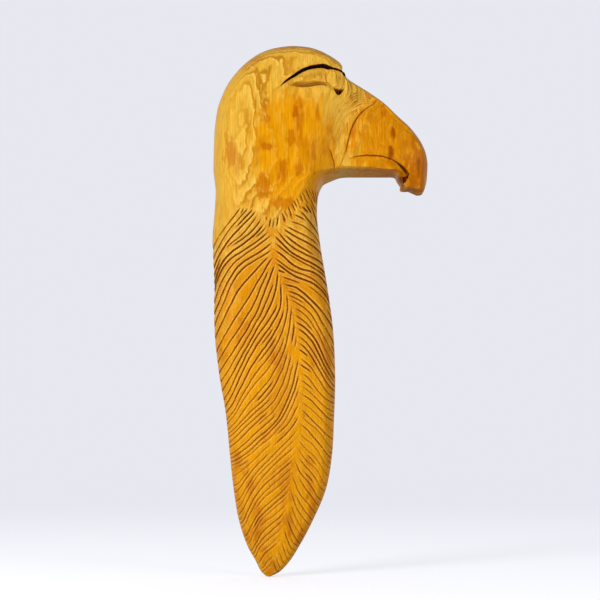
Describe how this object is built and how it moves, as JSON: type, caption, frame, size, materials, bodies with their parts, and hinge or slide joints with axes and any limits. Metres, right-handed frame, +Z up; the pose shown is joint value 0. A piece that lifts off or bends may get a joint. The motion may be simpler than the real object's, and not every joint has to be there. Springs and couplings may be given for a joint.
{
  "type": "carved eagle head",
  "caption": "Wall carving of an eagle's head and long feathered neck in one solid piece of wood, with a hooked beak, a deep brow slit and a flat back.",
  "frame": {"origin": "on the flat back, straight above the centre of weight, where the carving is fixed to a wall", "axes": "+Z up, from the neck's point towards the crown; the carved face looks along -Y and the flat back lies in Y = 0; the beak points to +X"},
  "size_m": [0.373, 0.101, 0.9052],
  "materials": {
    "varnished_wood": "honey-orange stain under satin varnish, darker in the gouge cuts, plain flat back"
  },
  "bodies": {
    "root": {"eagle_head_carving": "varnished_wood"}
  },
  "joints": []
}
